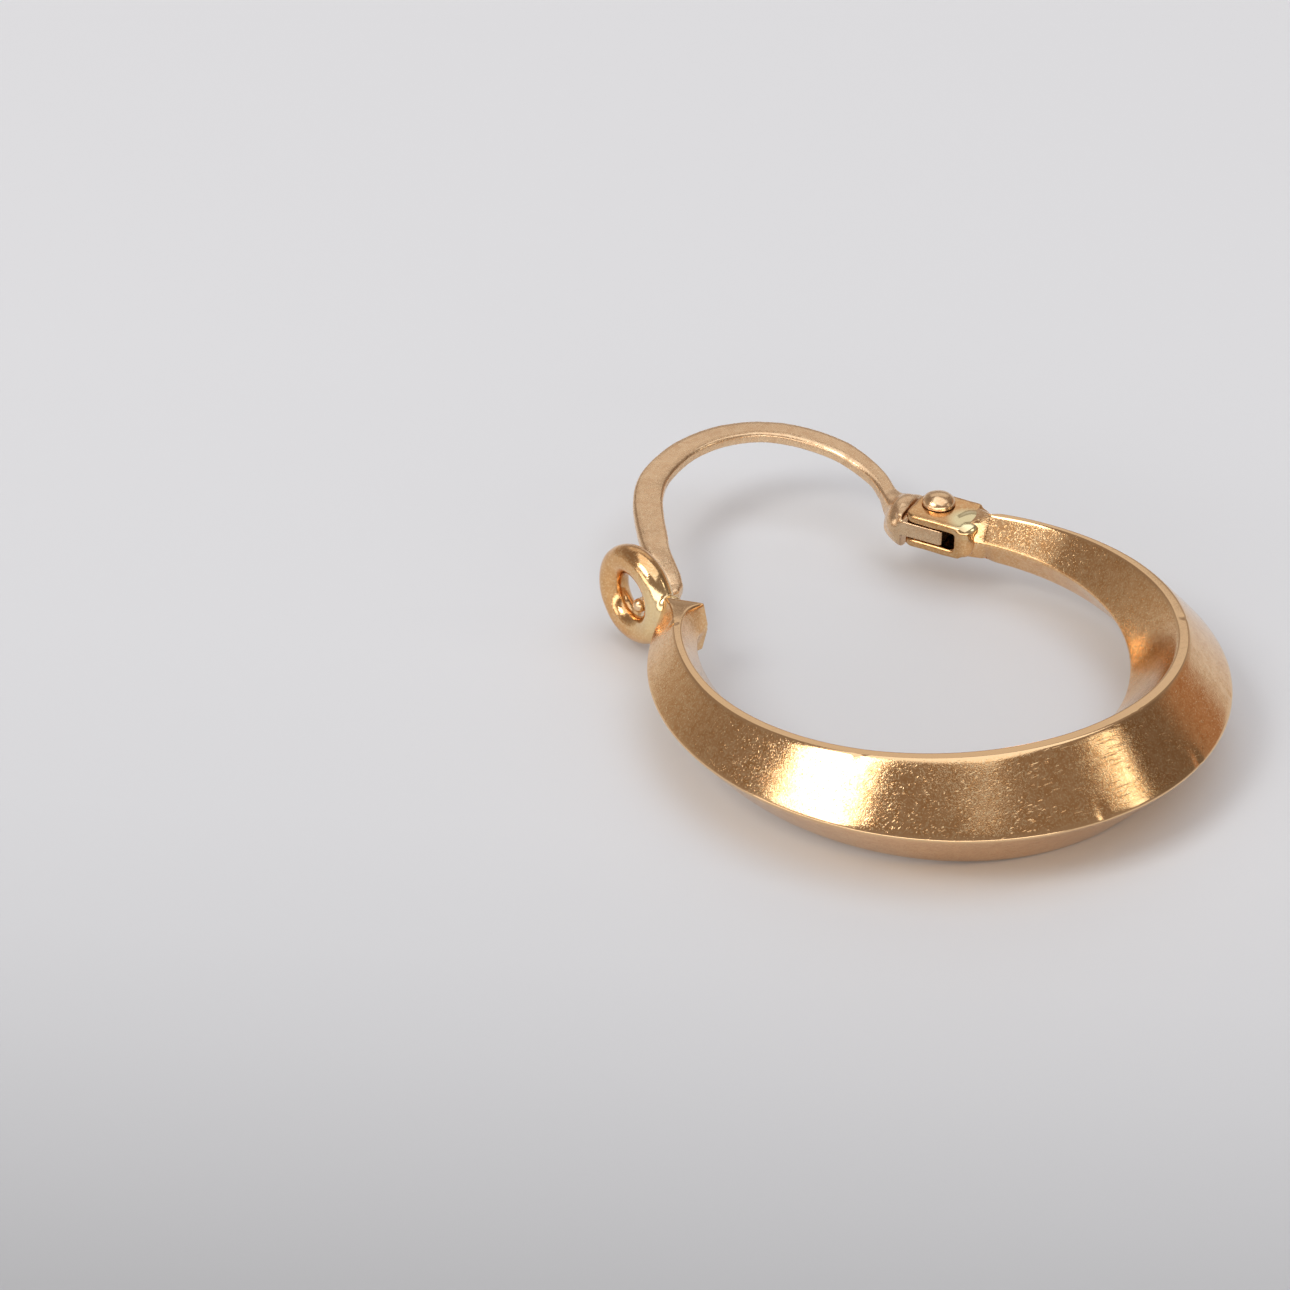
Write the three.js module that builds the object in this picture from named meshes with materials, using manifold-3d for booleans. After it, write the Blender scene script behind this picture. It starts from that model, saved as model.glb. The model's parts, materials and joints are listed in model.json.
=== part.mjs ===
// A gold hoop earring lying flat on its side: a tapered knife-edged hoop with a catch ring and a hinge fork
// soldered to it, a flattened ear wire that swings in the plane of the hoop, and the rivet it turns on.
// Millimetres, +Z up. +Y points from the thick bottom of the hoop to the ear wire, +X to the hinge.
import * as THREE from "three";
import { mergeVertices } from "three/addons/utils/BufferGeometryUtils.js";
import Module from "manifold-3d";

const wasm = await Module();
wasm.setup();

// The hoop: its two knife edges follow circles of this radius, above and below its middle plane
const ridgeRadius = 8.5;
const hoopHalfHeight = 2.17;
const hoopOuterDepth = 2.05;
const hoopInnerDepth = 1.78;
const edgeRounding = 0.1;
const catchEndAngle = 136.5;
const hingeEndAngle = 131;
const hoopSteps = 97;

// The hinge: a fork of two plates, set this far out from the circle of the knife edges and pointing this way,
// and the rivet through it
const hingeOutset = 0.75;
const hingeAngle = 143;
const forkInwardAngle = 22;
const forkInside = 1.22;
const forkOutside = 0.8;
const forkPlate = 0.34;
const forkGap = 0.64;
const slotDepth = 1.15;
const forkRoot = 0.24;
const rootInset = 0.015;
const plateCorner = 0.2;
const plateRounding = 0.12;
const rootLandRatio = 0.88;
const rivetRadius = 0.38;
const rivetHeadRadius = 0.6;
const rivetHeadHeight = 0.38;
const fixedFit = 0.03;
const runningFit = 0.05;
const sideFit = 0.05;
const shoulderFit = 0.08;

// The catch ring, its place beyond the end of the hoop, and the solder under it
const catchRingRadius = 1.29;
const catchWireRadius = 0.52;
const catchOutset = 2.13;
const catchAngle = 143.7;
const catchRingAngle = 6;
const solderRadius = 0.5;
const solderStretchRatio = 1.6;
const solderPlaceRatio = 0.3;

// The ear wire: its arch over the line from the rivet to the catch ring, and its hammered section
const archHeight = 6.86;
const archLift = 0.95;
const wireWidth = 1.0;
const wireThickness = 0.48;
const eyeRadius = 0.76;
const eyeBack = 0.66;
const tongueInside = 1.14;
const tongueOutside = 0.6;
const tongueReach = 1.1;
const shoulderLength = 0.27;
const shoulderInside = 1.1;
const shoulderOutside = 0.75;
const shoulderHigh = 0.52;
const footRadius = 0.27;
const footSwellRatio = 1.15;
const footShort = 0.34;
const footLow = 0.36;
const footSink = 0.25;
const footLength = 0.75;
const wireSteps = 72;
// Places of the last sections of the rounded foot, as shares of its radius
const tipShares = [0.5, 0.85];

const roundSides = 32;
const wireSides = 12;
const catchSides = 12;
const catchSteps = 36;
const domeSteps = 5;

// Sections of the hoop. at runs from -1, the catch end, over 0, the bottom, to 1, the hinge end. height,
// outer and inner are shares of the named sizes, and land is how much of the section's top is flat.
const hoopRows = [
  { at: -1.0, height: 0.44, outer: 0.44, inner: 0.47, land: 0.8 },
  { at: -0.97, height: 0.47, outer: 0.455, inner: 0.37, land: 0.4 },
  { at: -0.93, height: 0.51, outer: 0.475, inner: 0.38, land: 0.2 },
  { at: -0.82, height: 0.585, outer: 0.56, inner: 0.54, land: 0.12 },
  { at: -0.65, height: 0.654, outer: 0.688, inner: 0.77, land: 0.11 },
  { at: -0.43, height: 0.802, outer: 0.849, inner: 0.944, land: 0.1 },
  { at: -0.22, height: 0.94, outer: 0.961, inner: 0.994, land: 0.1 },
  { at: 0.0, height: 1.0, outer: 1.0, inner: 1.0, land: 0.1 },
  { at: 0.22, height: 0.94, outer: 0.961, inner: 0.994, land: 0.1 },
  { at: 0.46, height: 0.797, outer: 0.849, inner: 0.93, land: 0.1 },
  { at: 0.69, height: 0.627, outer: 0.688, inner: 0.68, land: 0.11 },
  { at: 0.85, height: 0.516, outer: 0.571, inner: 0.47, land: 0.1 },
  { at: 1.0, height: 0.43, outer: 0.47, inner: 0.34, land: 0.16 },
];

// Stations of the ear wire from the rivet on. along is a share of the way from the rivet to the catch ring,
// out a share of the arch height, lift a share of the arch lift, wide and thick shares of the wire's section.
const wireRows = [
  { along: 0.0, out: 0.0, lift: -0.24, wide: 1.85, thick: 3.1 },
  { along: 0.062, out: 0.083, lift: -0.24, wide: 1.9, thick: 3.1 },
  { along: 0.075, out: 0.121, lift: -0.18, wide: 1.6, thick: 2.8 },
  { along: 0.077, out: 0.192, lift: -0.02, wide: 0.95, thick: 1.8 },
  { along: 0.073, out: 0.31, lift: 0.1, wide: 0.68, thick: 1.1 },
  { along: 0.069, out: 0.41, lift: 0.23, wide: 0.7, thick: 1.0 },
  { along: 0.078, out: 0.52, lift: 0.36, wide: 0.78, thick: 1.0 },
  { along: 0.095, out: 0.615, lift: 0.48, wide: 0.86, thick: 1.02 },
  { along: 0.117, out: 0.699, lift: 0.58, wide: 0.93, thick: 1.03 },
  { along: 0.202, out: 0.87, lift: 0.79, wide: 1.0, thick: 1.0 },
  { along: 0.309, out: 0.974, lift: 0.93, wide: 0.98, thick: 1.0 },
  { along: 0.438, out: 1.0, lift: 1.0, wide: 1.0, thick: 1.0 },
  { along: 0.55, out: 0.964, lift: 0.98, wide: 1.02, thick: 1.0 },
  { along: 0.647, out: 0.882, lift: 0.92, wide: 1.05, thick: 1.0 },
  { along: 0.728, out: 0.776, lift: 0.8, wide: 1.08, thick: 1.0 },
  { along: 0.778, out: 0.656, lift: 0.65, wide: 1.08, thick: 1.0 },
  { along: 0.813, out: 0.521, lift: 0.53, wide: 1.08, thick: 1.02 },
  { along: 0.843, out: 0.369, lift: 0.37, wide: 1.05, thick: 1.05 },
  { along: 0.867, out: 0.227, lift: 0.21, wide: 0.95, thick: 1.12 },
];

const radians = THREE.MathUtils.degToRad;
const up = new THREE.Vector3(0, 0, 1);

// Direction seen from the hoop's centre, turned away from the bottom; positive goes to the hinge side
function outwardAt(turn) {
  return new THREE.Vector3(Math.sin(radians(turn)), -Math.cos(radians(turn)), 0);
}

// One column of a table at a place between its rows, on a smooth curve through them
function columnAt(rows, key, column, place) {
  let row = 0;
  while (row < rows.length - 2 && place > rows[row + 1][key]) row += 1;
  const before = rows[Math.max(row - 1, 0)];
  const left = rows[row];
  const right = rows[row + 1];
  const after = rows[Math.min(row + 2, rows.length - 1)];
  const span = right[key] - left[key];
  const t = (place - left[key]) / span;
  const slope = (a, b) => (b[column] - a[column]) / (b[key] - a[key]) * span;
  const startSlope = slope(before, right);
  const endSlope = slope(left, after);
  const cubic = 2 * t ** 3 - 3 * t ** 2 + 1;
  return cubic * left[column] + (t ** 3 - 2 * t ** 2 + t) * startSlope
    + (1 - cubic) * right[column] + (t ** 3 - t ** 2) * endSlope;
}

// Corners cut to arcs of three points each
function roundCorners(corners, radius) {
  const points = [];
  corners.forEach((corner, i) => {
    const before = corners[(i + corners.length - 1) % corners.length];
    const after = corners[(i + 1) % corners.length];
    const cut = (other) => Math.min(radius, corner.distanceTo(other) * 0.45);
    const start = corner.clone().lerp(before, cut(before) / corner.distanceTo(before));
    const end = corner.clone().lerp(after, cut(after) / corner.distanceTo(after));
    const middle = start.clone().add(end).multiplyScalar(0.25).addScaledVector(corner, 0.5);
    points.push(start, middle, end);
  });
  return points;
}

// The hoop's section as x, the depth outwards from the knife edge, and y, the height
function knifeSection(halfHeight, outer, inner, land, rounding) {
  const corners = [
    [outer, 0], [outer * land, halfHeight], [-inner * land, halfHeight],
    [-inner, 0], [-inner * land, -halfHeight], [outer * land, -halfHeight],
  ].map(([x, y]) => new THREE.Vector2(x, y));
  return roundCorners(corners, rounding);
}

// A section set in space: x goes along side, y along height
function placeSection(section, centre, side, height) {
  return section.map((p) => centre.clone().addScaledVector(side, p.x).addScaledVector(height, p.y));
}

// A closed solid through a row of sections with the same number of points
function loft(sections) {
  const sides = sections[0].length;
  const positions = [];
  sections.forEach((section) => section.forEach((p) => positions.push(p.x, p.y, p.z)));
  const index = [];
  for (let s = 0; s < sections.length - 1; s += 1) {
    for (let i = 0; i < sides; i += 1) {
      const a = s * sides + i;
      const b = s * sides + (i + 1) % sides;
      index.push(a, b, b + sides, a, b + sides, a + sides);
    }
  }
  [[0, 0], [sections.length - 1, 1]].forEach(([s, flip]) => {
    const middle = sections[s].reduce((sum, p) => sum.add(p), new THREE.Vector3()).divideScalar(sides);
    const centre = positions.length / 3;
    positions.push(middle.x, middle.y, middle.z);
    for (let i = 0; i < sides; i += 1) {
      const a = s * sides + i;
      const b = s * sides + (i + 1) % sides;
      index.push(...(flip ? [centre, a, b] : [centre, b, a]));
    }
  });
  return solidOf(positions, index);
}

// A boolean solid of a closed mesh, turned right side out
function solidOf(positions, index) {
  let volume = 0;
  const corner = (i) => new THREE.Vector3().fromArray(positions, 3 * i);
  for (let i = 0; i < index.length; i += 3) {
    volume += corner(index[i]).dot(corner(index[i + 1]).cross(corner(index[i + 2])));
  }
  const triangles = Uint32Array.from(index);
  if (volume < 0) {
    for (let i = 0; i < triangles.length; i += 3) {
      [triangles[i + 1], triangles[i + 2]] = [triangles[i + 2], triangles[i + 1]];
    }
  }
  return new wasm.Manifold(new wasm.Mesh({
    numProp: 3, vertProperties: Float32Array.from(positions), triVerts: triangles,
  }));
}

function solidOfGeometry(geometry) {
  geometry.deleteAttribute("normal");
  geometry.deleteAttribute("uv");
  const merged = mergeVertices(geometry);
  return solidOf(Array.from(merged.attributes.position.array), Array.from(merged.index.array));
}

function meshOf(solid, name, material) {
  const { vertProperties, triVerts } = solid.getMesh();
  const geometry = new THREE.BufferGeometry();
  geometry.setAttribute("position", new THREE.BufferAttribute(vertProperties, 3));
  geometry.setIndex(new THREE.BufferAttribute(triVerts, 1));
  geometry.computeVertexNormals();
  const mesh = new THREE.Mesh(geometry, material);
  mesh.name = name;
  return mesh;
}

// Places that several pieces share
const hinge = outwardAt(hingeAngle).multiplyScalar(ridgeRadius + hingeOutset);
const forkAhead = outwardAt(hingeAngle + 90 - forkInwardAngle);
const forkSide = new THREE.Vector3().crossVectors(up, forkAhead).negate();
const forkHalfHeight = forkGap / 2 + forkPlate;
const forkCutReach = slotDepth + forkInside + forkOutside;
const catchCentre = outwardAt(-catchAngle).multiplyScalar(ridgeRadius + catchOutset);
const catchInward = outwardAt(90 + catchRingAngle);
const catchAcross = new THREE.Vector3().crossVectors(up, catchInward);

// The knife-edged body, from its flat catch end round to the root of the hinge fork
function makeBody() {
  const sections = [];
  for (let step = 0; step <= hoopSteps; step += 1) {
    const at = -1 + 2 * step / hoopSteps;
    const turn = at * (at < 0 ? catchEndAngle : hingeEndAngle);
    const share = (column) => columnAt(hoopRows, "at", column, at);
    const section = knifeSection(hoopHalfHeight * share("height"), hoopOuterDepth * share("outer"),
      hoopInnerDepth * share("inner"), share("land"), edgeRounding);
    const outward = outwardAt(turn);
    sections.push(placeSection(section, outward.clone().multiplyScalar(ridgeRadius), outward, up));
  }
  const root = hinge.clone().addScaledVector(forkAhead, -slotDepth - forkRoot / 2)
    .addScaledVector(forkSide, (forkOutside - forkInside) / 2);
  const rootHalf = (forkOutside + forkInside) / 2 - rootInset;
  const rootHalfHeight = forkHalfHeight - rootInset;
  const rootSection = knifeSection(rootHalfHeight, rootHalf, rootHalf, rootLandRatio, plateRounding);
  sections.push(placeSection(rootSection, root, forkSide, up));
  return loft(sections);
}

// A round bar along Z
function bar(radius, low, high) {
  const geometry = new THREE.CylinderGeometry(radius, radius, high - low, roundSides);
  geometry.rotateX(Math.PI / 2).translate(hinge.x, hinge.y, (low + high) / 2);
  return solidOfGeometry(geometry);
}

// A block along the fork's own direction, from back to front; left and right are its sides seen from above
function forkBlock(back, front, left, right, low, high) {
  const geometry = new THREE.BoxGeometry(front - back, left + right, high - low);
  geometry.translate((front + back) / 2, (left - right) / 2, (low + high) / 2);
  geometry.rotateZ(Math.atan2(forkAhead.y, forkAhead.x)).translate(hinge.x, hinge.y, 0);
  return solidOfGeometry(geometry);
}

// Two plates, round at the front on the side that the ear wire swings to, joined behind the slot and drilled
function makeFork() {
  const outline = new THREE.Shape();
  outline.moveTo(-slotDepth - forkRoot, forkInside);
  outline.lineTo(-slotDepth - forkRoot, -forkOutside);
  outline.lineTo(0, -forkOutside);
  outline.absarc(0, 0, forkOutside, -Math.PI / 2, 0, false);
  outline.lineTo(forkOutside, forkInside - plateCorner);
  outline.absarc(forkOutside - plateCorner, forkInside - plateCorner, plateCorner, 0, Math.PI / 2, false);
  const options = { depth: 2 * forkHalfHeight, bevelEnabled: false, curveSegments: 8 };
  const geometry = new THREE.ExtrudeGeometry(outline, options);
  geometry.translate(0, 0, -forkHalfHeight);
  geometry.rotateZ(Math.atan2(forkAhead.y, forkAhead.x)).translate(hinge.x, hinge.y, 0);
  return solidOfGeometry(geometry)
    .subtract(forkBlock(-slotDepth, forkCutReach, forkCutReach, forkCutReach, -forkGap / 2, forkGap / 2))
    .subtract(bar(rivetRadius + fixedFit, -2 * forkHalfHeight, 2 * forkHalfHeight));
}

// The round catch ring, which stands across the plane of the hoop
function makeCatchRing() {
  const geometry = new THREE.TorusGeometry(catchRingRadius, catchWireRadius, catchSides, catchSteps);
  geometry.rotateY(Math.PI / 2).rotateZ(radians(catchRingAngle));
  geometry.translate(catchCentre.x, catchCentre.y, catchCentre.z);
  return solidOfGeometry(geometry);
}

// The bead of solder between the catch ring and the outer corner of the hoop's end
function makeSolder() {
  const geometry = new THREE.SphereGeometry(solderRadius, catchSides, catchSides);
  geometry.scale(1, 1, solderStretchRatio);
  const ringFoot = catchCentre.clone().addScaledVector(catchAcross, -catchRingRadius);
  const hoopEnd = outwardAt(-catchEndAngle).multiplyScalar(ridgeRadius);
  const place = ringFoot.lerp(hoopEnd, solderPlaceRatio);
  geometry.translate(place.x, place.y, place.z);
  return solidOfGeometry(geometry);
}

// The hammered section of the ear wire: x across it in the plane of the hoop, y its thickness
function wireSection(width, thickness) {
  const points = [];
  for (let i = 0; i < wireSides; i += 1) {
    const angle = 2 * Math.PI * (i + 0.5) / wireSides;
    const bulge = (value) => Math.sign(value) * Math.sqrt(Math.abs(value)) / 2;
    points.push(new THREE.Vector2(bulge(Math.cos(angle)) * width, bulge(Math.sin(angle)) * thickness));
  }
  return points;
}

// Stations of the ear wire in space: the arch first, then the foot that turns into the catch ring
function wireStations() {
  const chord = catchCentre.clone().sub(hinge);
  const along = chord.clone().normalize();
  const out = new THREE.Vector3().crossVectors(along, up);
  const stations = wireRows.map((row) => ({
    point: hinge.clone().addScaledVector(chord, row.along).addScaledVector(out, archHeight * row.out)
      .addScaledVector(up, archLift * row.lift),
    width: wireWidth * row.wide,
    thickness: wireThickness * row.thick,
  }));
  const tip = catchCentre.clone().addScaledVector(catchInward, footShort + footRadius)
    .addScaledVector(catchAcross, -footLow).addScaledVector(up, -footSink);
  [[footLength, footSwellRatio], [0, 1]].forEach(([back, swell]) => stations.push({
    point: tip.clone().addScaledVector(catchInward, back),
    width: 2 * footRadius * swell,
    thickness: 2 * footRadius * swell,
  }));
  return stations;
}

// The flattened wire, its shoulder in front of the fork, its round eye between the plates and its foot
function makeEarWire() {
  const stations = wireStations();
  const curve = new THREE.CatmullRomCurve3(stations.map((station) => station.point), false, "centripetal");
  const sections = [];
  const sectionAt = (centre, heading, width, thickness) => {
    const across = new THREE.Vector3().crossVectors(up, heading).normalize();
    const height = new THREE.Vector3().crossVectors(heading, across).normalize();
    sections.push(placeSection(wireSection(width, thickness), centre, across, height));
  };
  for (let step = 0; step <= wireSteps; step += 1) {
    const t = step / wireSteps;
    const at = t * (stations.length - 1);
    const from = Math.min(Math.floor(at), stations.length - 2);
    const blend = THREE.MathUtils.smoothstep(at - from, 0, 1);
    const size = (key) => THREE.MathUtils.lerp(stations[from][key], stations[from + 1][key], blend);
    sectionAt(curve.getPoint(t), curve.getTangent(t), size("width"), size("thickness"));
  }
  const tip = curve.getPoint(1);
  const heading = curve.getTangent(1);
  tipShares.forEach((share) => {
    const radius = footRadius * Math.sqrt(1 - share ** 2);
    sectionAt(tip.clone().addScaledVector(heading, footRadius * share), heading, 2 * radius, 2 * radius);
  });
  const eyeHalf = forkGap / 2 - sideFit;
  const shoulder = forkOutside + shoulderFit;
  return loft(sections)
    .subtract(forkBlock(-forkCutReach, shoulder, forkCutReach, forkCutReach, -forkCutReach, forkCutReach))
    .add(forkBlock(shoulder, shoulder + shoulderLength, shoulderInside, shoulderOutside, -forkHalfHeight,
      shoulderHigh))
    .add(bar(eyeRadius, -eyeHalf, eyeHalf))
    .add(forkBlock(-eyeBack, 0, tongueInside, 0, -eyeHalf, eyeHalf))
    .add(forkBlock(0, tongueReach, tongueInside, tongueOutside, -eyeHalf, eyeHalf))
    .subtract(bar(rivetRadius + runningFit, -forkHalfHeight, forkHalfHeight));
}

// The rivet: a pin with a domed head over each plate
function makeRivet() {
  const seat = forkHalfHeight + fixedFit;
  const dome = [];
  for (let step = 0; step <= domeSteps; step += 1) {
    const angle = Math.PI / 2 * step / domeSteps;
    dome.push(new THREE.Vector2(rivetHeadRadius * Math.sin(angle), seat + rivetHeadHeight * Math.cos(angle)));
  }
  dome.push(new THREE.Vector2(rivetRadius, seat));
  const lowerHalf = dome.map((point) => new THREE.Vector2(point.x, -point.y));
  const profile = [...lowerHalf, ...dome.reverse()];
  const geometry = new THREE.LatheGeometry(profile, roundSides);
  geometry.rotateX(Math.PI / 2).translate(hinge.x, hinge.y, 0);
  return solidOfGeometry(geometry);
}

const satinGold = new THREE.MeshStandardMaterial({ color: 0xc0915f, roughness: 0.32, metalness: 1 });
const wireGold = new THREE.MeshStandardMaterial({ color: 0xcda077, roughness: 0.4, metalness: 1 });
const rivetGold = new THREE.MeshStandardMaterial({ color: 0xc8a56a, roughness: 0.22, metalness: 1 });

const hoopSolid = makeBody().add(makeFork()).add(makeCatchRing()).add(makeSolder());
const earring = new THREE.Group();
earring.add(meshOf(hoopSolid, "hoop", satinGold));
earring.add(meshOf(makeRivet(), "hinge_rivet", rivetGold));
earring.add(meshOf(makeEarWire(), "ear_wire", wireGold));

// It lies on its lower knife edge: the origin is under the middle of the whole earring
const box = new THREE.Box3().setFromObject(earring);
const middle = box.getCenter(new THREE.Vector3());
earring.position.set(-middle.x, -middle.y, -box.min.z);

export default earring;
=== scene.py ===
import json
import math

import bpy
from mathutils import Matrix, Vector


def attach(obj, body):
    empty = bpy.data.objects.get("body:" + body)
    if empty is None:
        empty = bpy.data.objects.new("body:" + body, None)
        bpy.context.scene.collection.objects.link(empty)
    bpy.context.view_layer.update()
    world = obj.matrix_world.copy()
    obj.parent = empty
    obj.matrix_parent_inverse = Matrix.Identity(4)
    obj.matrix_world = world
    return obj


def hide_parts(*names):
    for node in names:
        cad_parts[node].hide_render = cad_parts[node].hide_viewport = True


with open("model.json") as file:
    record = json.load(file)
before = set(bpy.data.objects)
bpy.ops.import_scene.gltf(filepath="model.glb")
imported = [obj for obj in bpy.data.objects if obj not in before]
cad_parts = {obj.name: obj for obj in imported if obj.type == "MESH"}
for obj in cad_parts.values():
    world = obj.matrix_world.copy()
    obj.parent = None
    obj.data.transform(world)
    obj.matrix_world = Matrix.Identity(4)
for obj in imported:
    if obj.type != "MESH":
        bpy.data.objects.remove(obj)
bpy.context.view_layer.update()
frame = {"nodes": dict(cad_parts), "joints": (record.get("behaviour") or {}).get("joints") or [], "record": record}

# Places shared with the solids, in metres
MM = 0.001
MICRON = 0.001 * MM
RIDGE_RADIUS = 8.5 * MM
lower_edge = Vector(frame["record"]["mounts"][0]["pos_m"])
hinge = Vector(frame["joints"][0]["pos_m"])
centre = Vector((lower_edge.x, lower_edge.y + RIDGE_RADIUS, hinge.z))

# The hoop: half height, depths out and in from its knife edges, and how far it runs to either side of the
# bottom, in degrees
HALF_HEIGHT = 2.17 * MM
OUTER_DEPTH = 2.05 * MM
INNER_DEPTH = 1.78 * MM
CATCH_END_TURN = 136.5
HINGE_END_TURN = 131.0
HOOP_STEPS = 120
KNIFE_EDGE_ROUNDING = 0.06 * MM
SIDE_EDGE_ROUNDING = 0.15 * MM

# Shares of the sizes above along the hoop: place from the catch end (-1) to the hinge end (1), height, outer
# depth, inner depth, and the flat share of the knife edge
HEIGHT_COLUMN = 1
OUTER_COLUMN = 2
INNER_COLUMN = 3
FLAT_COLUMN = 4
HOOP_ROWS = [
    (-1.0, 0.44, 0.44, 0.47, 0.8),
    (-0.97, 0.47, 0.455, 0.37, 0.4),
    (-0.93, 0.51, 0.475, 0.38, 0.2),
    (-0.82, 0.585, 0.56, 0.54, 0.12),
    (-0.65, 0.654, 0.688, 0.77, 0.11),
    (-0.43, 0.802, 0.849, 0.944, 0.1),
    (-0.22, 0.94, 0.961, 0.994, 0.1),
    (0.0, 1.0, 1.0, 1.0, 0.1),
    (0.22, 0.94, 0.961, 0.994, 0.1),
    (0.46, 0.797, 0.849, 0.93, 0.1),
    (0.69, 0.627, 0.688, 0.68, 0.11),
    (0.85, 0.516, 0.571, 0.47, 0.1),
    (1.0, 0.43, 0.47, 0.34, 0.16),
]

# How the hinge end is drawn on into the root of the fork
ROOT_INSET = 0.06 * MM
ROOT_DRAW = 0.3 * MM
ROOT_LOWERING = 0.05 * MM
ROOT_NARROWING = 0.85

# The cut end at the catch, rounded over
END_INSET = 0.16 * MM
END_RISE = 0.14 * MM

# Where the metal is rubbed bright: shares of the height and of the outer depth where that starts and is full
BRIGHT_HEIGHTS = (0.955, 0.99)
BRIGHT_DEPTHS = (0.93, 0.97)

# The hinge fork, seen from the rivet: which way it points, how wide it is to either side, its plates and slot
FORK_HEADING = math.radians(143.0 - 22.0)
FORK_INSIDE = 1.22 * MM
FORK_OUTSIDE = 0.8 * MM
FORK_PLATE = 0.34 * MM
FORK_GAP = 0.64 * MM
SLOT_DEPTH = 1.15 * MM
FORK_ROOT = 0.24 * MM
FORK_HALF_HEIGHT = FORK_GAP / 2 + FORK_PLATE
FORK_OUTSIDE_CORNER = 0.78 * MM
FORK_INSIDE_CORNER = 0.34 * MM
FORK_EDGE = 0.05 * MM
FORK_FILED = 0.02 * MM
FORK_FILED_BACK = -1.05 * MM

# Solder on the fork's root, in mm from the rivet: ahead, to the outside, up, and its half sizes
FORK_SOLDER = [
    (-1.36, -0.45, 0.42, (0.52, 0.85, 0.34)),
    (-1.45, 0.3, 0.3, (0.4, 0.5, 0.3)),
    (-1.45, -0.98, 0.0, (0.42, 0.26, 0.62)),
    (-1.45, 0.6, 0.0, (0.42, 0.26, 0.56)),
    (-1.42, -0.25, -0.4, (0.42, 0.8, 0.3)),
]

# The rivet, with a dome over each plate, and its clearance in the fork and in the ear wire's eye
RIVET_RADIUS = 0.38 * MM
RIVET_HEAD_RADIUS = 0.6 * MM
RIVET_HEAD_HEIGHT = 0.38 * MM
RIVET_HEAD_GAP = 0.035 * MM
RIVET_STEP = 10
RIVET_HOLE_GAP = 0.03 * MM
EYE_GAP = 0.05 * MM

# The catch ring and its place beyond the end of the hoop
RING_RADIUS = 1.29 * MM
RING_WIRE = 0.52 * MM
RING_PLACE_RADIUS = 10.63 * MM
RING_PLACE_TURN = -143.7
RING_TURN = math.radians(6.0)

# Solder from the ring to the hoop: share of the way, radius in mm, upright stretch, and lift in mm
RING_SOLDER = [
    (0.25, 0.52, 1.5, 0.0),
    (0.5, 0.45, 1.5, 0.15),
    (0.75, 0.36, 1.5, 0.2),
]

# The foot of the ear wire in the ring, its shoulder at the fork, and its tongue between the fork's plates
FOOT_RADIUS = 0.25 * MM
FOOT_REACH = 0.36 * MM
FOOT_OVERLAP = 0.9 * MM
FOOT_LOW = 0.33 * MM
FOOT_SINK = 0.25 * MM
SHOULDER_FACE = 0.89 * MM
SHOULDER_PLACE = (1.2 * MM, 0.16 * MM, -0.08 * MM)
SHOULDER_SIZE = (0.6 * MM, 1.08 * MM, 0.7 * MM)
SHOULDER_FILED = 0.93 * MM
SHOULDER_FILED_ABOVE = 0.3 * MM
SHOULDER_SPAN = (0.78 * MM, 1.5 * MM)
SHOULDER_SLOPE_START = 0.15 * MM
SHOULDER_SLOPE_LENGTH = 0.6 * MM
SHOULDER_SLOPE = 0.4
TONGUE_FRONT = 1.0 * MM
TONGUE_BACK = 0.62 * MM
TONGUE_OUTSIDE = 0.6 * MM
TONGUE_INSIDE = FORK_INSIDE - 0.03 * MM
TONGUE_HEIGHT = FORK_GAP - 0.07 * MM

# How much painted shade darkens the gold: a little on the hinge's inner side, which faces into the hoop, as much
# on the tongue, and most in the slot between the fork's plates
SIDE_SHADE = 0.3
TONGUE_SHADE = 0.3
SLOT_SHADE = 0.9


def outward(turn):
    """Direction from the hoop's centre, turned from the bottom by degrees, positive to the hinge side."""
    angle = math.radians(turn)
    return Vector((math.sin(angle), -math.cos(angle), 0.0))


def ring_axis():
    """From the catch ring's middle towards the ear wire's side of it."""
    return Vector((math.cos(RING_TURN), math.sin(RING_TURN), 0.0))


fork_ahead = Vector((math.cos(FORK_HEADING), math.sin(FORK_HEADING), 0.0))
fork_side = Vector((fork_ahead.y, -fork_ahead.x, 0.0))
ring_centre = centre + outward(RING_PLACE_TURN) * RING_PLACE_RADIUS
at_hinge = Matrix.Translation(hinge) @ Matrix.Rotation(FORK_HEADING, 4, "Z")
at_ring = Matrix.Translation(ring_centre) @ Matrix.Rotation(RING_TURN, 4, "Z")


def from_hinge(point):
    """Seen from the rivet's middle: how far ahead along the fork, to its outer side, and up."""
    offset = point - hinge
    return offset.dot(fork_ahead), offset.dot(fork_side), offset.z


# Small helpers for modelling
def deselect():
    if bpy.context.object and bpy.context.object.mode != "OBJECT":
        bpy.ops.object.mode_set(mode="OBJECT")
    bpy.ops.object.select_all(action="DESELECT")


def choose(piece):
    deselect()
    piece.select_set(True)
    bpy.context.view_layer.objects.active = piece


def named(name):
    piece = bpy.context.object
    piece.name = name
    piece.data.name = name
    return piece


def settle(piece):
    """Its place goes into the mesh, so that the object sits at the origin."""
    choose(piece)
    bpy.ops.object.transform_apply(location=True, rotation=True, scale=True)
    return piece


def add_box(name, size, place):
    deselect()
    bpy.ops.mesh.primitive_cube_add(size=1.0)
    piece = named(name)
    piece.scale = size
    piece.location = place
    return settle(piece)


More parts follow.
